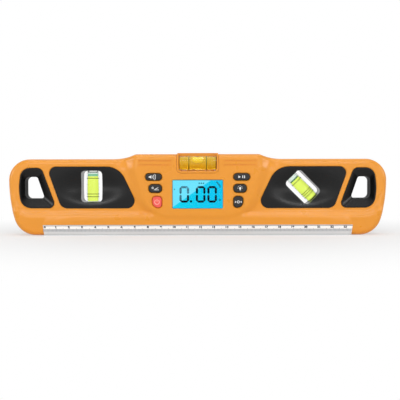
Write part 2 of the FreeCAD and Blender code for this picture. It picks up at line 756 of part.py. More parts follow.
def grip_liner():
    """Left liner: one piece through the housing, bevelled towards its hole on both faces."""
    face = END_DEPTH - LINER_RECESS
    outline = liner_outline()
    body = prism(outline, -face, face)
    rim = outline.makeOffset2D(FLANGE_WIDTH)
    body = body.fuse(prism(rim, -INNER_DEPTH, -INNER_DEPTH + FLANGE_THICKNESS))
    body = body.fuse(prism(rim, INNER_DEPTH - FLANGE_THICKNESS, INNER_DEPTH))
    mouth = outline.makeOffset2D(-LINER_LIP)
    mouth.translate(V(0, -face, 0))
    throat = hand_hole_outline()
    throat.translate(V(0, -face + BEVEL_DEPTH, 0))
    bevel = Part.makeLoft([mouth, throat], True, True)
    hole = prism(hand_hole_outline(), -REACH, REACH)
    return body.cut([hole, bevel, mirror_y(bevel)])


def vial_axis_cylinder(centre, angle, radius, length):
    """Cylinder along the vial axis through a window centre."""
    x, z = centre
    direction = V(math.cos(math.radians(angle)), 0, math.sin(math.radians(angle)))
    start = V(x, 0, z) - direction * (length / 2)
    return Part.makeCylinder(radius, length, start, direction)


def vial_panel(centre, angle):
    """Left front panel: dished face, flange behind the shell wall and half of the vial window."""
    face = END_DEPTH - PANEL_RECESS
    x_centre, z_centre = centre

    def dished(x, z):
        reach = math.hypot((x - x_centre) / DISH_HALF_WIDTH, (z - z_centre) / DISH_HALF_HEIGHT)
        return face - DISH_DEPTH * (1 - smooth_step(reach))

    outline = panel_outline()
    body = prism(outline, -face - FLARE, -face + PANEL_THICKNESS)
    rim = outline.makeOffset2D(FLANGE_WIDTH)
    body = body.fuse(prism(rim, -INNER_DEPTH, -INNER_DEPTH + FLANGE_THICKNESS))
    box = outline.BoundBox
    cutter = shaped_cutter(dished, (box.XMin - DISH_MARGIN, box.XMax + DISH_MARGIN),
                           (box.ZMin - DISH_MARGIN, box.ZMax + DISH_MARGIN), DISH_COLUMNS, DISH_ROWS)
    body = body.cut(cutter)
    body = body.fuse(prism(window_outline(centre, angle, WINDOW_WALL), -face + PANEL_THICKNESS, 0))
    seat = vial_axis_cylinder(centre, angle, SIDE_VIAL_R + SEAT_FIT,
                              WINDOW_LENGTH + 2 * SIDE_VIAL_SEAT + 2 * SEAT_FIT)
    return body.cut([prism(window_outline(centre, angle, 0), -REACH, REACH), seat])


# ---------------------------------------------------------------- vials

def barrel(radius, bulge, x_low, x_high):
    """Solid of revolution about X whose side bulges in the middle."""
    middle = V((x_low + x_high) / 2, 0, radius + bulge)
    profile = Part.Wire([
        Part.makeLine(V(x_low, 0, 0), V(x_low, 0, radius)),
        Part.Arc(V(x_low, 0, radius), middle, V(x_high, 0, radius)).toShape(),
        Part.makeLine(V(x_high, 0, radius), V(x_high, 0, 0)),
        Part.makeLine(V(x_high, 0, 0), V(x_low, 0, 0)),
    ])
    return Part.Face(profile).revolve(V(0, 0, 0), V(1, 0, 0), 360)


def tube_along_x(radius, x_low, x_high):
    return Part.makeCylinder(radius, x_high - x_low, V(x_low, 0, 0), V(1, 0, 0))


def vial_pieces(radius, length, end_wall, plug_length, plug_drop, rings):
    """A vial along X about the origin: body, plug sunk in its upper end, liquid and line rings."""
    half = length / 2
    inner = radius - VIAL_WALL - VIAL_BARREL
    plug_high = half - plug_drop
    cavity_high = plug_high - plug_length
    cavity = barrel(inner, VIAL_BARREL, -half + end_wall, cavity_high)
    plug = tube_along_x(inner, cavity_high, plug_high)
    body = tube_along_x(radius, -half, half).cut([cavity, tube_along_x(inner, cavity_high, half)])
    bands = []
    for x in rings:
        sleeve = tube_along_x(radius + RING_THICKNESS, x - RING_WIDTH / 2, x + RING_WIDTH / 2)
        bands.append(sleeve.cut(tube_along_x(radius, x - RING_WIDTH, x + RING_WIDTH)))
    return {"body": body, "plug": plug, "liquid": cavity, "rings": Part.makeCompound(bands)}


def placed(pieces, centre, angle):
    """Turn a vial from X to its angle and move its middle to (x, z)."""
    for shape in pieces.values():
        shape.rotate(V(0, 0, 0), V(0, 1, 0), -angle)
        shape.translate(V(centre[0], 0, centre[1]))
    return pieces


def side_vial(centre, angle, air, rings):
    """The plumb or the slanted vial: the air stands over the liquid at its upper end."""
    length = WINDOW_LENGTH + 2 * SIDE_VIAL_SEAT
    pieces = vial_pieces(SIDE_VIAL_R, length, SIDE_VIAL_END, SIDE_VIAL_PLUG, SIDE_VIAL_PLUG_DROP, rings)
    pieces = placed(pieces, centre, angle)
    surface = pieces["liquid"].BoundBox.ZMax - air
    above = block(centre[0] - REACH, centre[0] + REACH, -REACH, REACH, surface, surface + REACH)
    pieces["liquid"] = pieces["liquid"].cut(above)
    return pieces


def level_vial():
    """The level vial: its bubble floats in the middle, under the top of the glass."""
    length = CRADLE_OPENING + 2 * LEVEL_VIAL_SEAT
    pieces = vial_pieces(LEVEL_VIAL_R, length, LEVEL_VIAL_END, LEVEL_VIAL_END, 0, LEVEL_VIAL_RINGS)
    pieces = placed(pieces, (0, LEVEL_VIAL_Z), 0)
    bubble = barrel(BUBBLE_END_R, BUBBLE_R - BUBBLE_END_R, -BUBBLE_HALF_LENGTH, BUBBLE_HALF_LENGTH)
    bubble.translate(V(0, 0, LEVEL_VIAL_Z + LEVEL_VIAL_R - VIAL_WALL - BUBBLE_R + BUBBLE_PRESS))
    pieces["liquid"] = pieces["liquid"].cut(bubble)
    return pieces


def save_vial(name, pieces):
    for piece, shape in pieces.items():
        save(name + "_vial_" + piece, shape)


def level_vial_cradle():
    """Trough in the top of the housing, open to the front and above."""
    front = -BOSS_DEPTH - CRADLE_PROUD
    top = CENTRE_TOP + CRADLE_RISE
    limits = block(-REACH, REACH, front, REACH, 0, top)
    half = CRADLE_OPENING / 2
    trough = prism(rounded_outline([
        (-half, CRADLE_FLOOR, CRADLE_R), (half, CRADLE_FLOOR, CRADLE_R),
        (half, CENTRE_TOP + REACH, CRADLE_R), (-half, CENTRE_TOP + REACH, CRADLE_R),
    ]), -REACH, CRADLE_REAR_Y - CRADLE_WALL)
    seat = tube_along_x(LEVEL_VIAL_R + SEAT_FIT, -half - LEVEL_VIAL_SEAT - SEAT_FIT,
                        half + LEVEL_VIAL_SEAT + SEAT_FIT)
    seat.translate(V(0, 0, LEVEL_VIAL_Z))
    over_sides = block(-REACH, REACH, -REACH, CRADLE_REAR_Y - CRADLE_WALL, CENTRE_TOP, CENTRE_TOP + REACH)
    cradle = cradle_space(0).common(limits).cut([trough, seat, over_sides])
    rim = [edge for edge in cradle.Edges if edge.BoundBox.YMax < front + SEAT_FIT]
    return cradle.makeFillet(CRADLE_RIM_R, rim)


# ---------------------------------------------------------------- display, board and buttons

def display_lens():
    plug = prism(rounded_rectangle(0, DISPLAY_Z, DISPLAY_WIDTH / 2, DISPLAY_HEIGHT / 2, DISPLAY_CORNER_R),
                 -BOSS_DEPTH + LENS_RECESS, -BOSS_INNER)
    flange = display_plate(LENS_STEP, -BOSS_INNER, LENS_BACK_Y)
    return plug.fuse(flange).removeSplitter()


def display_plate(margin, y_from, y_to):
    return block(-DISPLAY_WIDTH / 2 - margin, DISPLAY_WIDTH / 2 + margin, y_from, y_to,
                 DISPLAY_Z - DISPLAY_HEIGHT / 2 - margin, DISPLAY_Z + DISPLAY_HEIGHT / 2 + margin)


def display_frame():
    outer = display_plate(GLASS_MARGIN + FIT + FRAME_WALL, LENS_BACK_Y, BOARD_FRONT_Y)
    return outer.cut(display_plate(GLASS_MARGIN + FIT, LENS_BACK_Y - OVERRUN,
                                   BOARD_FRONT_Y + OVERRUN))


def circuit_board():
    top = CRADLE_UNDER - BOARD_MARGIN_TOP
    board = block(-BOARD_HALF_WIDTH, BOARD_HALF_WIDTH, BOARD_FRONT_Y, BOARD_BACK_Y, BOARD_BOTTOM, top)
    holes = []
    for x, z in post_places():
        holes += both_sides(rod(x, z, BOARD_SCREW_R + SEAT_FIT, -REACH, REACH))
    return board.cut(holes)


def board_screws():
    screws = []
    for x, z in post_places():
        shaft = rod(x, z, BOARD_SCREW_R, BOARD_FRONT_Y - BOARD_SCREW_GRIP + FIT, BOARD_BACK_Y)
        head = rod(x, z, BOARD_SCREW_HEAD_R, BOARD_BACK_Y, BOARD_BACK_Y + BOARD_SCREW_HEAD)
        screws += both_sides(shaft.fuse(head).cut(cross_slot(x, z, BOARD_BACK_Y + BOARD_SCREW_HEAD,
                                                             BOARD_SCREW_HEAD_R, SCREW_SLOT / 2)))
    return Part.makeCompound(screws)


def cross_slot(x, z, y_face, head_radius, depth):
    """Cross recess in a screw head whose face is at y_face."""
    arm = head_radius * SCREW_SLOT_SPAN
    half = SCREW_SLOT / 2
    top = y_face + OVERRUN
    across = block(x - arm, x + arm, y_face - depth, top, z - half, z + half)
    down = block(x - half, x + half, y_face - depth, top, z - arm, z + arm)
    return across.fuse(down)


def shell_screws():
    screws = []
    for x, z in screw_places():
        shaft = rod(x, z, SCREW_R, SCREW_TIP_Y + FIT, SCREW_HEAD_Y)
        head = rod(x, z, SCREW_HEAD_R, SCREW_HEAD_Y, SCREW_HEAD_Y + SCREW_HEAD)
        slot = cross_slot(x, z, SCREW_HEAD_Y + SCREW_HEAD, SCREW_HEAD_R, SCREW_SLOT_DEPTH)
        screws += both_sides(shaft.fuse(head).cut(slot))
    return Part.makeCompound(screws)


def button_middle(row):
    return -BUTTON_COLUMN_X - BUTTON_WIDTHS[row] / 2, DISPLAY_Z + BUTTON_ROWS[row]


def push_button(row):
    """A button of the left column: domed cap, retaining flange and stem."""
    face = -BOSS_DEPTH - BUTTON_PROUD
    flange_front = -BOSS_INNER + MOVING_GAP
    flange_back = flange_front + BUTTON_FLANGE_THICKNESS
    cap = prism(button_outline(row, 0), face, flange_front)
    rim = [edge for edge in cap.Edges if edge.BoundBox.YMax < face + SEAT_FIT]
    cap = cap.makeFillet(BUTTON_EDGE_R, rim)
    flange = prism(button_outline(row, BUTTON_FLANGE), flange_front, flange_back)
    x, z = button_middle(row)
    switch_top = BOARD_FRONT_Y - SWITCH_HEIGHT - SWITCH_PLUNGER
    stem = rod(x, z, BUTTON_STEM_R, flange_back, switch_top - BUTTON_TRAVEL - STRIKE_GAP)
    return cap.fuse([flange, stem])


def button_switches():
    switches = []
    half = SWITCH_SIZE / 2
    for row in range(len(BUTTON_ROWS)):
        x, z = button_middle(row)
        case_front = BOARD_FRONT_Y - SWITCH_HEIGHT
        case = block(x - half, x + half, case_front, BOARD_FRONT_Y, z - half, z + half)
        plunger = rod(x, z, SWITCH_PLUNGER_R, case_front - SWITCH_PLUNGER, case_front)
        switches += both_sides(case.fuse(plunger))
    return Part.makeCompound(switches)


def chip(x, size, height):
    half = size / 2
    return block(x - half, x + half, BOARD_BACK_Y, BOARD_BACK_Y + height, DISPLAY_Z - half, DISPLAY_Z + half)


def buzzer():
    can = rod(BUZZER_X, DISPLAY_Z, BUZZER_R, BOARD_BACK_Y, BOARD_BACK_Y + BUZZER_HEIGHT)
    port = rod(BUZZER_X, DISPLAY_Z, BUZZER_PORT_R, BOARD_BACK_Y + BUZZER_HEIGHT / 2, REACH)
    return can.cut(port)


# ---------------------------------------------------------------- battery bay

def bay_block(grow, y_from, y_to):
    return block(-BAY_HALF_LENGTH - grow, BAY_HALF_LENGTH + grow, y_from, y_to,
                 DISPLAY_Z - BAY_HALF_HEIGHT - grow, DISPLAY_Z + BAY_HALF_HEIGHT + grow)


def battery_tray():
    """Open tray whose flange bears on the back of the door ledge."""
    outer = TRAY_WALL - FIT
    body = bay_block(outer, TRAY_FRONT_Y, LEDGE_FRONT_Y)
    body = body.fuse(bay_block(outer + TRAY_FLANGE, LEDGE_FRONT_Y - TRAY_WALL, LEDGE_FRONT_Y))
    return body.cut(bay_block(0, TRAY_FRONT_Y + TRAY_WALL, REACH))


def battery_rows():
    """Height and direction of each cell; neighbours point opposite ways."""
    return ((DISPLAY_Z - BATTERY_PITCH / 2, 1), (DISPLAY_Z + BATTERY_PITCH / 2, -1))


def batteries():
    cells = []
    for z, way in battery_rows():
        nub_end = way * (BAY_HALF_LENGTH - TERMINAL_THICKNESS)
        case_end = nub_end - way * BATTERY_NUB
        case = Part.makeCylinder(BATTERY_R, BATTERY_LENGTH, V(case_end, BATTERY_Y, z), V(-way, 0, 0))
        nub = Part.makeCylinder(BATTERY_NUB_R, BATTERY_NUB, V(case_end, BATTERY_Y, z), V(way, 0, 0))
        cells.append(case.fuse(nub))
    return Part.makeCompound(cells)


def battery_terminals():
    """A contact plate across each end of the bay."""
    half_height = BAY_HALF_HEIGHT - TERMINAL_MARGIN
    plate = block(-BAY_HALF_LENGTH, -BAY_HALF_LENGTH + TERMINAL_THICKNESS,
                  BATTERY_Y - TERMINAL_HALF_DEPTH, BATTERY_Y + TERMINAL_HALF_DEPTH,
                  DISPLAY_Z - half_height, DISPLAY_Z + half_height)
    return Part.makeCompound(both_sides(plate))


def battery_springs():
    """Coil springs between the flat cell ends and their plates."""
    springs = []
    room = BAY_END_SPACE - 2 * (TERMINAL_THICKNESS + SPRING_WIRE_R + SPRING_GAP)
    for z, way in battery_rows():
        path = Part.makeHelix(SPRING_PITCH, room, SPRING_R)
        section = Part.Wire(Part.makeCircle(SPRING_WIRE_R, V(SPRING_R, 0, 0), V(0, 1, 0)))
        coil = Part.Wire(path).makePipeShell([section], True, True)
        coil.rotate(V(0, 0, 0), V(0, 1, 0), 90 * way)
        start = BAY_HALF_LENGTH - TERMINAL_THICKNESS - SPRING_WIRE_R - SPRING_GAP
        coil.translate(V(-way * start, BATTERY_Y, z))
        springs.append(coil)
    return Part.makeCompound(springs)


def battery_door():
    """Cover plate, flush with the rear boss, with grip ribs and a finger notch."""
    plate = prism(door_outline(0), BOSS_INNER, BOSS_DEPTH)
    ribs = []
    for index in range(DOOR_RIBS):
        z = DISPLAY_Z + DOOR_HALF_HEIGHT - DOOR_RIB_DROP - index * DOOR_RIB_PITCH
        outline = rounded_rectangle(0, z, DOOR_RIB_LENGTH / 2, DOOR_RIB_WIDTH / 2,
                                    (DOOR_RIB_WIDTH - LEAST_STRAIGHT) / 2)
        ribs.append(prism(outline, BOSS_DEPTH, BOSS_DEPTH + DOOR_RIB_HEIGHT))
    notch = rod(0, DISPLAY_Z - DOOR_HALF_HEIGHT, DOOR_NOTCH_R, BOSS_DEPTH - DOOR_NOTCH_DEPTH, REACH)
    return plate.fuse(ribs).cut(notch)


# ---------------------------------------------------------------- assembly

def save_housing():
    blank = shell_blank()
    save("front_shell", front_shell(blank))
    save("rear_shell", rear_shell(blank))
    save("shell_screws", shell_screws())
    save("base_rail", base_rail())
    save("scale_strip", scale_strip())
    save("rail_magnets", rail_magnets())


def save_ends():
    liner = grip_liner()
    save("left_grip_liner", liner)
    save("right_grip_liner", mirror_x(liner))
    plumb = vial_panel(window_centre(PLUMB_WINDOW_SHIFT), PLUMB_ANGLE)
    save("plumb_panel_front", plumb)
    save("plumb_panel_rear", mirror_y(plumb))
    slant = mirror_x(vial_panel(window_centre(SLANT_WINDOW_SHIFT), -SLANT_ANGLE))
    save("slant_panel_front", slant)
    save("slant_panel_rear", mirror_y(slant))


def save_vials():
    left = window_centre(PLUMB_WINDOW_SHIFT)
    x, z = window_centre(SLANT_WINDOW_SHIFT)
    save_vial("plumb", side_vial(left, PLUMB_ANGLE, PLUMB_AIR, PLUMB_VIAL_RINGS))
    save_vial("slant", side_vial((-x, z), 180 + SLANT_ANGLE, SLANT_AIR, SLANT_VIAL_RINGS))
    save_vial("level", level_vial())
    save("level_vial_cradle", level_vial_cradle())


def save_display():
    save("display_lens", display_lens())
    save("display_glass", display_plate(GLASS_MARGIN, LENS_BACK_Y + STACK_GAP, GLASS_BACK_Y))
    save("backlight", display_plate(GLASS_MARGIN, GLASS_BACK_Y + STACK_GAP, BACKLIGHT_BACK_Y))
    save("display_frame", display_frame())
    save("circuit_board", circuit_board())
    save("board_screws", board_screws())
    save("button_switches", button_switches())
    save("tilt_sensor", chip(SENSOR_X, SENSOR_SIZE, SENSOR_HEIGHT))
    save("controller_chip", chip(CONTROLLER_X, CONTROLLER_SIZE, CONTROLLER_HEIGHT))
    save("buzzer", buzzer())
    rows = (
        ("sound_button", "hold_button"),
        ("unit_button", "light_button"),
        ("power_button", "zero_button"),
    )
    for row, (left_name, right_name) in enumerate(rows):
        button = push_button(row)
        save(left_name, button)
        save(right_name, mirror_x(button))


def save_battery_bay():
    save("battery_tray", battery_tray())
    save("batteries", batteries())
    save("battery_terminals", battery_terminals())
    save("battery_springs", battery_springs())
    save("battery_door", battery_door())


save_housing()
save_ends()
save_vials()
save_display()
save_battery_bay()
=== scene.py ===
import json
import math

import bmesh
import bpy
from mathutils import Matrix, Vector


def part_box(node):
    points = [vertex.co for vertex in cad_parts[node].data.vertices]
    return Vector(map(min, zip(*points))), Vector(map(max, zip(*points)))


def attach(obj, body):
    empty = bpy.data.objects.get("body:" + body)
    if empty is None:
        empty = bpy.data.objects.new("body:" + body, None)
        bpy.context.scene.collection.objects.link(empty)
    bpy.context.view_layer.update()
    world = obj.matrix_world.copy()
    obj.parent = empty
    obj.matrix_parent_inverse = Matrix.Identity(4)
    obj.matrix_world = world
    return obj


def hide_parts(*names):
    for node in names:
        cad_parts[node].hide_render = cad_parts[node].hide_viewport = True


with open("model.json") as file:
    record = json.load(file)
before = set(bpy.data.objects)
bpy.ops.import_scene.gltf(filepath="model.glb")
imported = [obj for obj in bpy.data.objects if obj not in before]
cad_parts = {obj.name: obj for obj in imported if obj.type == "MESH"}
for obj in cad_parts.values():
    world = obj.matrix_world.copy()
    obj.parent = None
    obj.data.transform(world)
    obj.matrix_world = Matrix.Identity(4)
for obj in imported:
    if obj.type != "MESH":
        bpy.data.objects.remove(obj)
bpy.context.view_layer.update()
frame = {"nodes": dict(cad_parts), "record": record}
NODES = frame["nodes"]
MM = 0.001


def box_mm(node):
    """Lowest and highest corner of a node in millimetres."""
    low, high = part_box(node)
    return low / MM, high / MM


STRIP_LOW, STRIP_HIGH = box_mm("scale_strip")
LENS_LOW, LENS_HIGH = box_mm("display_lens")
GLASS_LOW = box_mm("display_glass")[0]

# ---------------------------------------------------------------- material helpers

# noise scales are in cycles per metre, and heights of bumps in metres
NOISE_LOW, NOISE_HIGH = 0.3, 0.7
FINE_DETAIL = 3.0
TONE_SCALE = 18.0
GLOSS_SCALE = 90.0
GLOSS_DOWN, GLOSS_UP = 0.03, 0.04
SPARK_HEIGHT = 0.00005


def feed(tree, value, target):
    """Link a socket to an input, or set the input to a constant."""
    if isinstance(value, bpy.types.NodeSocket):
        tree.links.new(value, target)
    else:
        target.default_value = value


def math_node(tree, operation, *values):
    made = tree.nodes.new("ShaderNodeMath")
    made.operation = operation
    for value, target in zip(values, made.inputs):
        feed(tree, value, target)
    return made.outputs[0]


class Shader:
    """A node material with one Principled BSDF and short calls for what feeds it."""

    def __init__(self, name):
        self.material = bpy.data.materials.new(name)
        self.material.use_nodes = True
        self.tree = self.material.node_tree
        self.bsdf = self.tree.nodes["Principled BSDF"]
        self.coordinates = self.node("ShaderNodeTexCoord")
        self.axes = None

    def node(self, kind, **settings):
        made = self.tree.nodes.new(kind)
        for key, value in settings.items():
            setattr(made, key, value)
        return made

    def feed(self, value, target):
        feed(self.tree, value, target)

    def set(self, **values):
        """Set or link inputs of the BSDF, with _ for a space in their names."""
        for key, value in values.items():
            self.feed(value, self.bsdf.inputs[key.replace("_", " ")])
        return self

    def axis(self, name):
        """One object coordinate, in metres."""
        if self.axes is None:
            self.axes = self.node("ShaderNodeSeparateXYZ")
            self.feed(self.coordinates.outputs["Object"], self.axes.inputs["Vector"])
        return self.axes.outputs[name]

    def math(self, operation, *values):
        return math_node(self.tree, operation, *values)

    def noise(self, scale, detail=2.0, stretch=(1.0, 1.0, 1.0)):
        """Noise in object coordinates, scale in cycles per metre."""
        mapping = self.node("ShaderNodeMapping")
        mapping.inputs["Scale"].default_value = stretch
        self.feed(self.coordinates.outputs["Object"], mapping.inputs["Vector"])
        texture = self.node("ShaderNodeTexNoise")
        texture.inputs["Scale"].default_value = scale
        texture.inputs["Detail"].default_value = detail
        self.feed(mapping.outputs["Vector"], texture.inputs["Vector"])
        return texture.outputs["Fac"]

    def spread(self, source, low, high, from_low=0.0, from_high=1.0):
        """Map from_low..from_high onto low..high, and no further."""
        made = self.node("ShaderNodeMapRange")
        made.inputs["From Min"].default_value = from_low
        made.inputs["From Max"].default_value = from_high
        self.feed(low, made.inputs["To Min"])
        self.feed(high, made.inputs["To Max"])
        self.feed(source, made.inputs["Value"])
        return made.outputs["Result"]

    def mix(self, factor, first, second):
        """Colour between first, at factor 0, and second, at factor 1."""
        made = self.node("ShaderNodeMix", data_type="RGBA")
        self.feed(factor, made.inputs["Factor"])
        self.feed(first, made.inputs["A"])
        self.feed(second, made.inputs["B"])
        return made.outputs["Result"]

    def tones(self, source, low, high):
        """Two close tones of one colour, divided by a noise source."""
        return self.mix(self.spread(source, 0.0, 1.0, NOISE_LOW, NOISE_HIGH), low, high)

    def bump(self, source, strength, distance):
        """Let a source raise the surface, at most by distance."""
        made = self.node("ShaderNodeBump")
        made.inputs["Strength"].default_value = strength
        made.inputs["Distance"].default_value = distance
        self.feed(source, made.inputs["Height"])
        self.feed(made.outputs["Normal"], self.bsdf.inputs["Normal"])
        return self


def rgb(red, green, blue):
    return (red, green, blue, 1.0)


def grey(value):
    return rgb(value, value, value)


def lighter(color, share):
    """A colour raised by a share of itself, or lowered where the share is negative."""
    return tuple(min(1.0, part * (1 + share)) for part in color[:3]) + (1.0,)


def moulded(name, color, roughness, grain_scale, grain_strength, specular=0.5, tone_share=0.06):
    """Moulded plastic or rubber: two close tones, a fine spark texture and uneven gloss."""
    shader = Shader(name)
    source = shader.noise(TONE_SCALE, FINE_DETAIL)
    tones = shader.tones(source, color, lighter(color, tone_share))
    gloss = shader.spread(shader.noise(GLOSS_SCALE), roughness - GLOSS_DOWN, roughness + GLOSS_UP)
    shader.set(Base_Color=tones, Roughness=gloss, Specular_IOR_Level=specular)
    return shader.bump(shader.noise(grain_scale, FINE_DETAIL), grain_strength, SPARK_HEIGHT)


# ---------------------------------------------------------------- plain materials

# name, colour, roughness, scale and strength of the grain
orange = moulded("orange_plastic", rgb(0.79, 0.295, 0.017), 0.28, 2200.0, 0.12, tone_share=0.03)
black = moulded("black_plastic", grey(0.005), 0.25, 2600.0, 0.12, specular=0.23, tone_share=0.3)
black_key = moulded("black_rubber", grey(0.008), 0.45, 3200.0, 0.2, specular=0.4, tone_share=0.3)
red_key = moulded("red_rubber", rgb(0.86, 0.095, 0.070), 0.42, 3200.0, 0.2)
frame_plastic = moulded("frame_plastic", grey(0.04), 0.5, 2600.0, 0.2)
chip = moulded("chip_black", grey(0.015), 0.45, 4000.0, 0.2)
board = moulded("board_green", rgb(0.015, 0.11, 0.04), 0.35, 1500.0, 0.1, tone_share=0.4)
jacket = moulded("cell_jacket", rgb(0.03, 0.10, 0.06), 0.3, 900.0, 0.05, tone_share=0.3)
guide = moulded("backlight_white", grey(0.80), 0.4, 900.0, 0.05)
ink = moulded("line_black", grey(0.010), 0.5, 3000.0, 0.1, specular=0.1, tone_share=0.5)
ring_ink = moulded("ring_ink", rgb(0.09, 0.10, 0.01), 0.4, 3000.0, 0.1,
                   specular=0.2, tone_share=0.3)
soft_ring_ink = moulded("soft_ring_ink", rgb(0.16, 0.18, 0.02), 0.4, 3000.0, 0.1,
                        specular=0.2, tone_share=0.3)
tick_ink = moulded("tick_ink", grey(0.16), 0.5, 3000.0, 0.1, specular=0.2, tone_share=0.3)
legend = moulded("legend_white", grey(0.78), 0.5, 3000.0, 0.1)
legend_rose = moulded("legend_rose", rgb(0.95, 0.45, 0.38), 0.5, 3000.0, 0.1)


WALL_HALF_DEPTH = 6.4
WALL_EDGE, BEVEL_EDGE = WALL_HALF_DEPTH - 0.2, WALL_HALF_DEPTH + 0.1
WALL_GLOSS, BEVEL_GLOSS = 0.003, 0.23


def liner_plastic():
    """Black plastic that is glossy on the bevels and dull on the wall of the finger hole."""
    shader = moulded("liner_plastic", grey(0.005), 0.25, 2600.0, 0.12, tone_share=0.3)
    depth = shader.math("ABSOLUTE", shader.axis("Y"))
    gloss = shader.spread(depth, WALL_GLOSS, BEVEL_GLOSS, WALL_EDGE * MM, BEVEL_EDGE * MM)
    return shader.set(Specular_IOR_Level=gloss)


liner_black = liner_plastic()


METAL_GRAIN_SCALE = 600.0
METAL_GRAIN_HEIGHT = 0.00003
LENGTHWISE, EVEN = (0.04, 6.0, 6.0), (1.0, 1.0, 1.0)


def brushed(name, color, roughness, stretch, strength):
    """Metal whose tone, gloss and surface follow one grain."""
    shader = Shader(name)
    grain = shader.noise(METAL_GRAIN_SCALE, FINE_DETAIL, stretch)
    shader.set(Metallic=1.0, Base_Color=shader.tones(grain, lighter(color, -0.1), color),
               Roughness=shader.spread(grain, roughness - 0.06, roughness + 0.08))
    return shader.bump(grain, strength, METAL_GRAIN_HEIGHT)


aluminium = brushed("aluminium", rgb(0.80, 0.81, 0.82), 0.34, LENGTHWISE, 0.25)
steel = brushed("steel", rgb(0.62, 0.62, 0.60), 0.32, EVEN, 0.1)
nickel = brushed("magnet_nickel", rgb(0.72, 0.70, 0.66), 0.2, EVEN, 0.05)

WHITE_BAND_LOW = 5.1
TICK_BAND_LOW = 3.2
# up to this height the grey stays darkest: painted shade where the rail stands on the floor
CONTACT_SHADE_HIGH = 1.0
# height of the dark line along the top: painted shadow under the housing
HOUSING_SHADOW_HEIGHT = 0.35
PRINT_GRAIN_SCALE = 700.0
PRINT_GRAIN_HEIGHT = 0.00002
PRINT_STRETCH = (0.03, 4.0, 4.0)


def printed_scale():
    """Grained grey bands under a white one, with painted shadow: a dark line along its top under
    the housing, and the darkest grey at its foot where it stands.
    """
    shader = Shader("scale_print")
    grain = shader.noise(PRINT_GRAIN_SCALE, FINE_DETAIL, PRINT_STRETCH)
    color = shader.tones(grain, grey(0.44), grey(0.50))
    bands = ((CONTACT_SHADE_HIGH, grey(0.57), grey(0.67)),
             (TICK_BAND_LOW, rgb(0.51, 0.52, 0.54), rgb(0.57, 0.58, 0.60)),
             (WHITE_BAND_LOW, rgb(0.94, 0.91, 0.88), rgb(0.98, 0.95, 0.92)),
             # painted shadow line under the housing
             (STRIP_HIGH.z - HOUSING_SHADOW_HEIGHT, rgb(0.08, 0.05, 0.03), rgb(0.12, 0.08, 0.05)))
    for foot, dark, pale in bands:
        above = shader.math("GREATER_THAN", shader.axis("Z"), foot * MM)
        color = shader.mix(above, color, shader.tones(grain, dark, pale))
    shader.set(Base_Color=color, Roughness=0.42)
    return shader.bump(grain, 0.1, PRINT_GRAIN_HEIGHT)


scale_print = printed_scale()

# ---------------------------------------------------------------- clear materials and liquids

VIAL_INDEX, LENS_INDEX = 1.2, 1.12
CLEAR_TONE_SCALE = 60.0
WAVE_SCALE = 300.0
WAVE_HEIGHT = 0.00001
CAP_ROUGHNESS = 0.12
# strength of the painted glow in the green and amber spirits
GREEN_GLOW, AMBER_GLOW = 0.12, 0.26
UP = Vector((0, 0, 1))
UP_LEFT = Vector((-1, 0, 1)).normalized()
STOPPER_HALF = 1.7
MINT = rgb(0.88, 0.98, 0.94)
TEAL = rgb(0.30, 0.66, 0.44)
# painted shade for the dark line at a plug's outer face
TEAL_END_SHADE = rgb(0.03, 0.07, 0.05)
DARK_GREEN = rgb(0.10, 0.28, 0.12)


def clear(name, color, roughness, index):
    """Clear plastic that bends light, with a barely uneven surface."""
    shader = Shader(name)
    tones = shader.tones(shader.noise(CLEAR_TONE_SCALE), color, lighter(color, 0.02))
    shader.set(Base_Color=tones, Roughness=roughness, IOR=index, Transmission_Weight=1.0)
    return shader.bump(shader.noise(WAVE_SCALE), 0.02, WAVE_HEIGHT)


def dyed_liquid(name, color, node, low_glow, high_glow, glow_strength):
    """Dyed spirit: clear, with a painted glow that changes from foot to top, darker at the foot,
    for the light and shade seen in the vial.
    """
    low, high = box_mm(node)
    shader = clear(name, color, 0.0, VIAL_INDEX)
    up = shader.spread(shader.axis("Z"), 0.0, 1.0, low.z * MM, high.z * MM)
    return shader.set(Emission_Color=shader.mix(up, low_glow, high_glow),
                      Emission_Strength=glow_strength)


def stopper_plastic(name, node, direction, stops):
    """Tinted plug whose colour changes along its axis, from the liquid to its outer face."""
    low, high = box_mm(node)
    middle = (low + high).dot(direction) / 2
    shader = clear(name, grey(1.0), CAP_ROUGHNESS, VIAL_INDEX)
    along = shader.math("ADD", shader.math("MULTIPLY", shader.axis("X"), direction.x),
                        shader.math("MULTIPLY", shader.axis("Z"), direction.z))
    share = shader.spread(along, 0.0, 1.0,
                          (middle - STOPPER_HALF) * MM, (middle + STOPPER_HALF) * MM)
    ramp = shader.node("ShaderNodeValToRGB")
    elements = ramp.color_ramp.elements
    elements[0].position, elements[0].color = stops[0]
    elements[1].position, elements[1].color = stops[-1]
    for position, color in stops[1:-1]:
        elements.new(position).color = color
    shader.feed(share, ramp.inputs["Fac"])
    return shader.set(Base_Color=ramp.outputs["Color"])


acrylic = clear("vial_acrylic", rgb(0.90, 0.915, 0.89), 0.0, VIAL_INDEX)
lens = clear("lens_clear", rgb(0.97, 0.985, 0.99), 0.0, LENS_INDEX)
# the spirits glow though they are no lamp: painted light, darker at the foot and paler at the top
green_liquid = dyed_liquid("green_liquid", rgb(0.76, 0.88, 0.16), "plumb_vial_liquid",
                           rgb(0.72, 0.92, 0.10), rgb(0.78, 0.95, 0.12), GREEN_GLOW)
amber_liquid = dyed_liquid("amber_liquid", rgb(0.94, 0.89, 0.12), "level_vial_liquid",
                           rgb(0.60, 0.22, 0.0), rgb(0.72, 0.68, 0.10), AMBER_GLOW)
amber_cap = clear("amber_cap", rgb(0.70, 0.45, 0.08), CAP_ROUGHNESS, VIAL_INDEX)
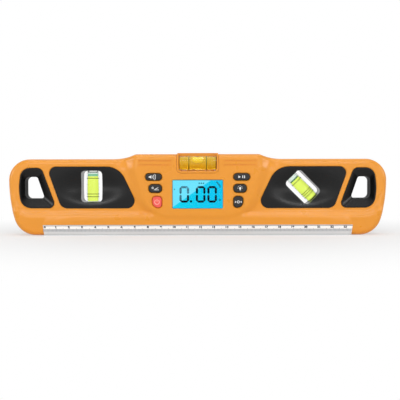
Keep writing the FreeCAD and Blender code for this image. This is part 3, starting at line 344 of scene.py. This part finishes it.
# the dark teal at the plug's outer face is painted shade: the dark line where its end face turns
# the light away
plumb_cap = stopper_plastic(
    "plumb_cap", "plumb_vial_plug", UP,
    [(0.0, TEAL), (0.50, TEAL), (0.58, MINT), (0.78, MINT), (0.86, TEAL_END_SHADE)])
slant_cap = stopper_plastic(
    "slant_cap", "slant_vial_plug", UP_LEFT,
    [(0.0, DARK_GREEN), (0.2, DARK_GREEN), (0.3, MINT), (1.0, MINT)])

# ---------------------------------------------------------------- display

GLARE_LOW = (-19.1, 21.4)
GLARE_HIGH = (10.5, 42.2)
GLARE_SOFT = 0.5
RIM_SHADE_WIDTH = 0.35
SEGMENT_RAISE = 1.3
LENS_FLANGE = 1.5
SEEN_LOW = LENS_LOW + Vector((LENS_FLANGE, 0, LENS_FLANGE))
SEEN_HIGH = LENS_HIGH - Vector((LENS_FLANGE, 0, LENS_FLANGE))


def glare(shader, raised=0.0):
    """0 below and 1 above the slanting line where a light reflection on the display ends."""
    slope = (GLARE_HIGH[1] - GLARE_LOW[1]) / (GLARE_HIGH[0] - GLARE_LOW[0])
    offset = (GLARE_LOW[1] - slope * GLARE_LOW[0] + raised) * MM
    line = shader.math("MULTIPLY_ADD", shader.axis("X"), slope, offset)
    above = shader.math("SUBTRACT", shader.axis("Z"), line)
    return shader.spread(above, 0.0, 1.0, -GLARE_SOFT / 2 * MM, GLARE_SOFT / 2 * MM)


def display_rim(shader):
    """1 in a narrow rim of painted shade along the edge of the visible glass, and 0 inside it."""
    centre = (LENS_LOW + LENS_HIGH) / 2
    half = (SEEN_HIGH - SEEN_LOW) / 2
    across = shader.math("ABSOLUTE", shader.math("SUBTRACT", shader.axis("X"), centre.x * MM))
    up = shader.math("ABSOLUTE", shader.math("SUBTRACT", shader.axis("Z"), centre.z * MM))
    side = shader.math("SUBTRACT", across, half.x * MM)
    end = shader.math("SUBTRACT", up, half.z * MM)
    return shader.spread(shader.math("MAXIMUM", side, end), 0.0, 1.0,
                         -RIM_SHADE_WIDTH * MM, -RIM_SHADE_WIDTH / 2 * MM)


def lit_display():
    """Back-lit display glass: cyan, deeper to the right, with a corner made lighter by a painted
    reflection and a teal rim of painted shade.
    """
    shader = Shader("display_cyan")
    across = shader.spread(shader.axis("X"), 0.0, 1.0, SEEN_LOW.x * MM, SEEN_HIGH.x * MM)
    deep = shader.mix(across, rgb(0.005, 0.66, 0.87), rgb(0.004, 0.55, 0.87))
    # painted reflection: paler cyan above the slanting line of the glare
    lit = shader.mix(glare(shader), deep, rgb(0.165, 0.78, 1.0))
    cell = shader.tones(shader.noise(400.0), grey(0.985), grey(1.0))
    mottled = shader.node("ShaderNodeMix", data_type="RGBA", blend_type="MULTIPLY")
    mottled.inputs["Factor"].default_value = 1.0
    shader.feed(lit, mottled.inputs["A"])
    shader.feed(cell, mottled.inputs["B"])
    # painted shade: a dark teal rim along the edge of the glass
    color = shader.mix(display_rim(shader), mottled.outputs["Result"], rgb(0.01, 0.20, 0.26))
    return shader.set(Emission_Color=color, Emission_Strength=1.0,
                      Base_Color=rgb(0.0, 0.01, 0.015), Roughness=0.3, Specular_IOR_Level=0.0)


def segment_ink():
    """The display's dark segments, paler where the reflection lies over them."""
    shader = Shader("segment_ink")
    tone = shader.tones(shader.noise(900.0), rgb(0.001, 0.003, 0.008), rgb(0.002, 0.005, 0.012))
    color = shader.mix(glare(shader, SEGMENT_RAISE), tone, rgb(0.035, 0.13, 0.18))
    return shader.set(Base_Color=color, Roughness=0.5, Specular_IOR_Level=0.0)


display_cyan = lit_display()
segments = segment_ink()
mark_ink = moulded("mark_ink", rgb(0.01, 0.14, 0.20), 0.5, 3000.0, 0.05, specular=0.0)

# ---------------------------------------------------------------- finishes of the CAD nodes

FINISH = {
    "orange_plastic": orange, "black_plastic": black, "black_rubber": black_key,
    "red_rubber": red_key, "aluminium": aluminium, "scale_print": scale_print,
    "vial_acrylic": acrylic, "green_liquid": green_liquid, "amber_liquid": amber_liquid,
    "line_black": ring_ink, "lens_clear": lens, "display_cyan": display_cyan,
    "backlight_white": guide, "frame_plastic": frame_plastic, "board_green": board,
    "chip_black": chip, "steel": steel, "magnet_nickel": nickel, "cell_jacket": jacket,
}
NODE_FINISH = {"left_grip_liner": liner_black, "right_grip_liner": liner_black}
LIGHT_PASSES = ("plumb_vial", "slant_vial", "display_lens")


def dress_nodes():
    """Give every CAD node the finish of its slot; the side vials and the lens cast no shadow."""
    for entry in frame["record"]["subparts"]:
        node = NODES[entry["node"]]
        finish = NODE_FINISH.get(entry["node"], FINISH[entry["material_slot"]])
        node.data.materials.clear()
        node.data.materials.append(finish.material)
        node.visible_shadow = not entry["node"].startswith(LIGHT_PASSES)


dress_nodes()

# ---------------------------------------------------------------- pieces


def add_piece(name, data, finish, body="housing"):
    """Put a mesh in the scene with its material and body."""
    data.materials.clear()
    data.materials.append(finish.material)
    piece = bpy.data.objects.new(name, data)
    bpy.context.scene.collection.objects.link(piece)
    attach(piece, body)
    return piece


def to_data(name, mesh):
    """Turn a bmesh into mesh data and free it."""
    data = bpy.data.meshes.new(name)
    mesh.to_mesh(data)
    mesh.free()
    return data


def flat_piece(name, outlines, y_front, depth, finish, body="housing"):
    """One mesh of thin prisms with (x, z) outlines in millimetres, whose faces look towards -Y."""
    mesh = bmesh.new()
    for outline in outlines:
        front = [mesh.verts.new((x * MM, y_front * MM, z * MM)) for x, z in outline]
        back = [mesh.verts.new((x * MM, (y_front + depth) * MM, z * MM)) for x, z in outline]
        count = len(outline)
        mesh.faces.new(front)
        mesh.faces.new(list(reversed(back)))
        for index in range(count):
            following = (index + 1) % count
            mesh.faces.new((front[index], back[index], back[following], front[following]))
    bmesh.ops.recalc_face_normals(mesh, faces=mesh.faces)
    return add_piece(name, to_data(name, mesh), finish, body)


def bar(x, z, width, height):
    """An upright rectangle about (x, z)."""
    half_w, half_h = width / 2, height / 2
    return [(x - half_w, z - half_h), (x + half_w, z - half_h),
            (x + half_w, z + half_h), (x - half_w, z + half_h)]


def turned(outline, x, z, degrees):
    """Turn an outline about (x, z)."""
    cosine, sine = math.cos(math.radians(degrees)), math.sin(math.radians(degrees))
    return [(x + (a - x) * cosine - (b - z) * sine, z + (a - x) * sine + (b - z) * cosine)
            for a, b in outline]


def arc_points(x, z, radius, start, end, count):
    """Points of an arc about (x, z), count steps from start to end degrees."""
    angles = [math.radians(start + (end - start) * step / count) for step in range(count + 1)]
    return [(x + radius * math.cos(angle), z + radius * math.sin(angle)) for angle in angles]


def disc(x, z, radius, count=24):
    """A round outline with count corners."""
    return arc_points(x, z, radius, 0, 360 - 360 / count, count - 1)


def arc_band(x, z, radius, width, start, end, count=24):
    """A curved stroke about (x, z) from start to end degrees."""
    outer = arc_points(x, z, radius + width / 2, start, end, count)
    inner = arc_points(x, z, radius - width / 2, start, end, count)
    return outer + inner[::-1]


def ring(x, z, radius, width):
    """A round stroke in two halves."""
    return [arc_band(x, z, radius, width, 0, 180), arc_band(x, z, radius, width, 180, 360)]


# ---------------------------------------------------------------- scale on the rail

SCALE_START = -117.2
SCALE_LENGTH = 234
TICK_WIDTH = 0.2
TICK_FOOT = 3.1
TICK_HEIGHTS = {10: 4.0, 5: 2.6, 1: 1.9}
PRINT_PROUD = 0.02
NUMBER_SIZE = 2.0
NUMBER_BOLD = 0.12
NUMBER_WIDEN = 1.25
NUMBER_Z = 6.4
NUMBER_SHIFT = -0.8
NOUGHT_SHIFT = 1.1
LAST_NUMBER = 23
CURVE_STEPS = 3


def scale_ticks():
    """A tick at each millimetre, longer at each fifth and longest at each tenth."""
    ticks = []
    for millimetre in range(SCALE_LENGTH):
        step = 10 if millimetre % 10 == 0 else 5 if millimetre % 5 == 0 else 1
        height = TICK_HEIGHTS[step]
        ticks.append(bar(SCALE_START + millimetre, TICK_FOOT + height / 2, TICK_WIDTH, height))
    flat_piece("scale_ticks", ticks, STRIP_LOW.y - PRINT_PROUD, PRINT_PROUD,
               tick_ink)


def number_mesh(entries, y_front):
    """Plain numbers as one mesh: entries are (text, x, z) in millimetres, centred there."""
    mesh = bmesh.new()
    for text, x, z in entries:
        curve = bpy.data.curves.new("number", "FONT")
        curve.body = text
        curve.size = NUMBER_SIZE * MM
        curve.offset = NUMBER_BOLD * MM
        curve.align_x = "CENTER"
        curve.align_y = "CENTER"
        curve.extrude = PRINT_PROUD * MM / 2
        curve.resolution_u = CURVE_STEPS
        holder = bpy.data.objects.new("number", curve)
        place = (x * MM, (y_front + PRINT_PROUD / 2) * MM, z * MM)
        holder.matrix_world = (Matrix.Translation(place)
                               @ Matrix.Rotation(math.pi / 2, 4, "X")
                               @ Matrix.Diagonal((NUMBER_WIDEN, 1, 1, 1)))
        bpy.context.scene.collection.objects.link(holder)
        bpy.context.view_layer.update()
        ready = holder.evaluated_get(bpy.context.evaluated_depsgraph_get())
        made = bpy.data.meshes.new_from_object(ready)
        made.transform(holder.matrix_world)
        mesh.from_mesh(made)
        bpy.data.objects.remove(holder)
        bpy.data.meshes.remove(made)
    return mesh


def scale_numbers():
    """The centimetres, each just before its tick, and the nought just after its own."""
    entries = [(str(number), SCALE_START + NUMBER_SHIFT + 10 * number, NUMBER_Z)
               for number in range(1, LAST_NUMBER + 1)]
    entries.insert(0, ("0", SCALE_START + NOUGHT_SHIFT, NUMBER_Z))
    mesh = number_mesh(entries, STRIP_LOW.y - PRINT_PROUD)
    add_piece("scale_numbers", to_data("scale_numbers", mesh), ink)


scale_ticks()
scale_numbers()

# ---------------------------------------------------------------- display segments

DIGIT_BOTTOM, DIGIT_TOP = 24.9, 37.5
DIGIT_LEFTS = (-13.85, -1.4, 7.35)
DIGIT_WIDTH = 7.3
DOT_X, DOT_RISE, DOT_RADIUS = -5.1, 0.95, 0.9
SEGMENT = 1.65
CORNER_GAP = 0.06
WAIST_GAP = 0.22
SEGMENT_DEPTH = 0.04


def segment_across(x_low, x_high, z, low_gap, high_gap):
    """A level segment with pointed ends, shortened by a gap at each end."""
    half = SEGMENT / 2
    x_low += low_gap
    x_high -= high_gap
    return [(x_low, z), (x_low + half, z - half), (x_high - half, z - half),
            (x_high, z), (x_high - half, z + half), (x_low + half, z + half)]


def segment_up(x, z_low, z_high, low_gap, high_gap):
    return [(a, b) for b, a in segment_across(z_low, z_high, x, low_gap, high_gap)]


def display_zero(left):
    """The six outer segments of one seven-segment digit."""
    half = SEGMENT / 2
    x_left, x_right = left + half, left + DIGIT_WIDTH - half
    z_low, z_high = DIGIT_BOTTOM + half, DIGIT_TOP - half
    z_mid = (z_low + z_high) / 2
    outlines = [segment_across(x_left, x_right, z, CORNER_GAP, CORNER_GAP) for z in (z_low, z_high)]
    for x in (x_left, x_right):
        outlines.append(segment_up(x, z_low, z_mid, CORNER_GAP, WAIST_GAP))
        outlines.append(segment_up(x, z_mid, z_high, WAIST_GAP, CORNER_GAP))
    return outlines


def on_glass(name, outlines, finish):
    """Thin pieces that stand on the front of the display glass."""
    flat_piece(name, outlines, GLASS_LOW.y - SEGMENT_DEPTH, SEGMENT_DEPTH, finish)


def display_digits():
    outlines = []
    for left in DIGIT_LEFTS:
        outlines += display_zero(left)
    outlines.append(disc(DOT_X, DIGIT_BOTTOM + DOT_RISE, DOT_RADIUS))
    on_glass("display_digits", outlines, segments)


def display_marks():
    """Small signs of the display: three level bars, a tilt arrow, a degree sign and a pointer."""
    bars = [bar(x, 39.6, 1.0, 1.0) for x in (1.2, 2.8, 4.4)]
    shaft = turned(bar(15.6, 39.2, 0.9, 4.0), 15.6, 39.2, 40)
    tip = [(16.0, 36.6), (17.6, 36.4), (17.3, 38.0)]
    degree = ring(16.9, 27.0, 0.5, 0.6)
    pointer = [(-18.0, 34.4), (-16.9, 35.0), (-18.0, 35.6)]
    on_glass("display_marks", bars + [shaft, tip] + degree + [pointer], mark_ink)


display_digits()
display_marks()

# ---------------------------------------------------------------- signs on the buttons

STROKE = 0.42
WAVE_RADII = (1.7, 2.9, 4.1)
RAY_ANGLES = (0, 45, 90, 135, 180)


def key_middle(node):
    low, high = box_mm(node)
    return (low.x + high.x) / 2, (low.z + high.z) / 2


def sound_sign(x, z):
    """Loudspeaker with three waves."""
    horn = [(x - 3.6, z - 0.5), (x - 2.8, z - 0.5), (x - 1.7, z - 1.3),
            (x - 1.7, z + 1.3), (x - 2.8, z + 0.5), (x - 3.6, z + 0.5)]
    waves = [arc_band(x - 2.6, z, radius, STROKE, -34, 34) for radius in WAVE_RADII]
    return [horn] + waves


def unit_sign(x, z):
    """Degree sign and a slope."""
    level = bar(x + 0.9, z - 1.0, 3.6, STROKE)
    slope = turned(bar(x + 0.9, z - 1.0, 3.8, STROKE), x - 0.9, z - 1.0, 28)
    return ring(x - 1.9, z + 0.5, 0.55, STROKE) + [level, slope]


def power_sign(x, z):
    """Broken ring with a stroke in the gap."""
    return [arc_band(x, z, 1.75, 0.5, -235, 55), bar(x, z + 1.3, 0.5, 2.0)]


def hold_sign(x, z):
    """A triangle and two bars: running, stopped."""
    triangle = [(x - 2.6, z - 1.0), (x - 0.8, z), (x - 2.6, z + 1.0)]
    return [triangle, bar(x + 0.7, z, 0.6, 2.0), bar(x + 2.1, z, 0.6, 2.0)]


def light_sign(x, z):
    """Lamp with rays."""
    ray = bar(x + 1.75, z + 0.2, 0.7, 0.35)
    rays = [turned(ray, x, z + 0.2, angle) for angle in RAY_ANGLES]
    return [disc(x, z + 0.2, 0.85), bar(x, z - 1.0, 0.9, 0.7)] + rays


def zero_sign(x, z):
    """A nought between two pointers."""
    left = [(x - 2.5, z - 0.8), (x - 1.4, z), (x - 2.5, z + 0.8)]
    right = [(x + 2.5, z - 0.8), (x + 2.5, z + 0.8), (x + 1.4, z)]
    return [left, right] + ring(x, z, 0.85, STROKE)


KEY_SIGNS = {
    "sound": (sound_sign, legend), "unit": (unit_sign, legend), "power": (power_sign, legend_rose),
    "hold": (hold_sign, legend), "light": (light_sign, legend), "zero": (zero_sign, legend),
}


def key_signs():
    """A printed sign on each button, which moves with it."""
    for key, (sign, finish) in KEY_SIGNS.items():
        node = key + "_button"
        face = box_mm(node)[0].y
        flat_piece(key + "_sign", sign(*key_middle(node)), face - PRINT_PROUD, 2 * PRINT_PROUD,
                   finish, key + "_key")


key_signs()

# ---------------------------------------------------------------- liquids and plugs

WELD = 0.001
SWELL = 0.03
FILM_GAP = 0.1
SHARP_ANGLE = math.radians(35)


def welded(node):
    """A CAD solid as a bmesh with its facets joined."""
    mesh = bmesh.new()
    mesh.from_mesh(NODES[node].data)
    bmesh.ops.remove_doubles(mesh, verts=mesh.verts, dist=WELD * MM)
    return mesh


def reach_plug(mesh, plug, direction):
    """Carry the free surface of the spirit along its vial up to the plug."""
    low, high = box_mm(plug)
    end = (low + high).dot(direction) / 2 - STOPPER_HALF - FILM_GAP
    surface = max(vertex.co.z for vertex in mesh.verts)
    for vertex in mesh.verts:
        if vertex.co.z > surface - FILM_GAP * MM:
            vertex.co += direction * (end * MM - vertex.co.dot(direction))


def swollen(name, node, finish, plug=None, direction=None):
    """A CAD solid grown by a hair, so that no air shows between it and the clear part round it."""
    mesh = welded(node)
    mesh.normal_update()
    for vertex in mesh.verts:
        vertex.co += vertex.normal * SWELL * MM
    if plug:
        reach_plug(mesh, plug, direction)
    for face in mesh.faces:
        face.smooth = True
    for edge in mesh.edges:
        edge.smooth = len(edge.link_faces) == 2 and edge.calc_face_angle() < SHARP_ANGLE
    piece = add_piece(name, to_data(name, mesh), finish)
    piece.visible_shadow = NODES[node].visible_shadow
    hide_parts(node)


def front_rings(name, node, finish):
    """The line rings of a side vial, printed on the half of the glass that faces the reader."""
    mesh = welded(node)
    everything = mesh.verts[:] + mesh.edges[:] + mesh.faces[:]
    bmesh.ops.bisect_plane(mesh, geom=everything, plane_co=(0, 0, 0), plane_no=(0, 1, 0),
                           clear_outer=True)
    bmesh.ops.edgenet_fill(mesh, edges=[edge for edge in mesh.edges if edge.is_boundary])
    bmesh.ops.recalc_face_normals(mesh, faces=mesh.faces)
    piece = add_piece(name, to_data(name, mesh), finish)
    piece.visible_shadow = False
    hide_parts(node)


def fill_vials():
    """Liquids, plugs and lines of the three vials, in place of the CAD solids."""
    for vial, direction in (("plumb", UP), ("slant", UP_LEFT)):
        swollen(vial + "_spirit", vial + "_vial_liquid", green_liquid,
                vial + "_vial_plug", direction)
    swollen("level_spirit", "level_vial_liquid", amber_liquid)
    for vial, cap in (("plumb", plumb_cap), ("slant", slant_cap), ("level", amber_cap)):
        swollen(vial + "_stopper", vial + "_vial_plug", cap)
    for vial in ("plumb", "slant"):
        front_rings(vial + "_lines", vial + "_vial_rings", soft_ring_ink)


fill_vials()

# ---------------------------------------------------------------- stage, camera and light

SENSOR_MM = 36.0
LENS_MM = 81.45
CLIP_START = 0.01
CAMERA_DISTANCE = 0.700
CAMERA_TILT = math.radians(2.0)
CAMERA_ROLL = math.radians(0.11)
AIM = Vector((0.0018, 0.0, 0.0265))


def add_camera():
    data = bpy.data.cameras.new("camera")
    data.sensor_width = SENSOR_MM
    data.lens = LENS_MM
    data.clip_start = CLIP_START
    camera = bpy.data.objects.new("camera", data)
    back = Vector((0, -math.cos(CAMERA_TILT), math.sin(CAMERA_TILT))) * CAMERA_DISTANCE
    camera.location = AIM + back
    camera.rotation_euler = (math.pi / 2 - CAMERA_TILT, CAMERA_ROLL, 0)
    bpy.context.scene.collection.objects.link(camera)
    bpy.context.scene.camera = camera


def white_background(tree, surface, share):
    """Mix a surface with plain white for what the camera, gloss and glass see."""
    path = tree.nodes.new("ShaderNodeLightPath").outputs
    seen = math_node(tree, "MAXIMUM", path["Is Camera Ray"], path["Is Glossy Ray"])
    seen = math_node(tree, "MAXIMUM", seen, path["Is Transmission Ray"])
    white = tree.nodes.new("ShaderNodeEmission")
    white.inputs["Strength"].default_value = 1.0
    mix = tree.nodes.new("ShaderNodeMixShader")
    tree.links.new(math_node(tree, "MULTIPLY", seen, share), mix.inputs["Fac"])
    tree.links.new(surface, mix.inputs[1])
    tree.links.new(white.outputs["Emission"], mix.inputs[2])
    return mix.outputs["Shader"]


FLOOR_HALF = 6.0
FLOOR_TONE, FLOOR_ROUGHNESS, FLOOR_GLOSS = 0.90, 0.9, 0.2
NEAR_SHARE = 0.28
FADE_FROM, FADE_TO = 0.04, 0.30


def add_floor():
    """Pale floor that holds the shadow near the object and is plain white further away."""
    material = bpy.data.materials.new("floor")
    material.use_nodes = True
    tree = material.node_tree
    bsdf = tree.nodes["Principled BSDF"]
    bsdf.inputs["Base Color"].default_value = grey(FLOOR_TONE)
    bsdf.inputs["Roughness"].default_value = FLOOR_ROUGHNESS
    bsdf.inputs["Specular IOR Level"].default_value = FLOOR_GLOSS
    length = tree.nodes.new("ShaderNodeVectorMath")
    length.operation = "LENGTH"
    tree.links.new(tree.nodes.new("ShaderNodeTexCoord").outputs["Object"], length.inputs[0])
    fade = tree.nodes.new("ShaderNodeMapRange")
    fade.interpolation_type = "SMOOTHSTEP"
    for key, value in (("From Min", FADE_FROM), ("From Max", FADE_TO),
                       ("To Min", NEAR_SHARE), ("To Max", 1.0)):
        fade.inputs[key].default_value = value
    tree.links.new(length.outputs["Value"], fade.inputs["Value"])
    mixed = white_background(tree, bsdf.outputs["BSDF"], fade.outputs["Result"])
    tree.links.new(mixed, tree.nodes["Material Output"].inputs["Surface"])
    mesh = bpy.data.meshes.new("floor")
    corners = [(x, y, 0) for x, y in bar(0, 0, 2 * FLOOR_HALF, 2 * FLOOR_HALF)]
    mesh.from_pydata(corners, [], [(0, 1, 2, 3)])
    mesh.materials.append(material)
    floor = bpy.data.objects.new("floor", mesh)
    bpy.context.scene.collection.objects.link(floor)


WORLD_STRENGTH = 0.30


def add_world():
    world = bpy.data.worlds.new("studio")
    bpy.context.scene.world = world
    world.use_nodes = True
    tree = world.node_tree
    background = tree.nodes["Background"]
    background.inputs["Color"].default_value = grey(1.0)
    background.inputs["Strength"].default_value = WORLD_STRENGTH
    mixed = white_background(tree, background.outputs["Background"], 1.0)
    tree.links.new(mixed, tree.nodes["World Output"].inputs["Surface"])


LAMP_TARGET = Vector((0, 0, 0.03))
# name, place in metres, width and height in metres, power in watts
LAMPS = (
    ("top_front", (0.0, -0.62, 0.85), (0.9, 0.22), 2.80),
    ("overhead", (0.0, 0.10, 0.9), (0.9, 0.3), 1.5),
    ("front_left", (-0.21, -0.90, 0.30), (0.08, 0.12), 0.7),
    ("front_right", (0.21, -0.90, 0.30), (0.08, 0.12), 0.7),
    ("fill_left", (-0.42, -0.85, 0.18), (0.22, 0.22), 0.35),
    ("fill_right", (0.42, -0.85, 0.18), (0.22, 0.22), 0.35),
    ("side_left", (-0.80, -0.40, 0.25), (0.30, 0.25), 1.4),
    ("side_right", (0.80, -0.40, 0.25), (0.30, 0.25), 1.4),
    ("spark", (0.0, -0.02, 0.9), (0.018, 0.12), 0.07),
)


def add_lights():
    """Softboxes that look at the middle of the level."""
    for name, place, size, power in LAMPS:
        data = bpy.data.lights.new(name, "AREA")
        data.shape = "RECTANGLE"
        data.size, data.size_y = size
        data.energy = power
        light = bpy.data.objects.new(name, data)
        light.location = place
        direction = LAMP_TARGET - Vector(place)
        light.rotation_euler = direction.to_track_quat("-Z", "Y").to_euler()
        bpy.context.scene.collection.objects.link(light)


add_camera()
add_floor()
add_world()
add_lights()
bpy.context.scene.view_settings.view_transform = "Standard"
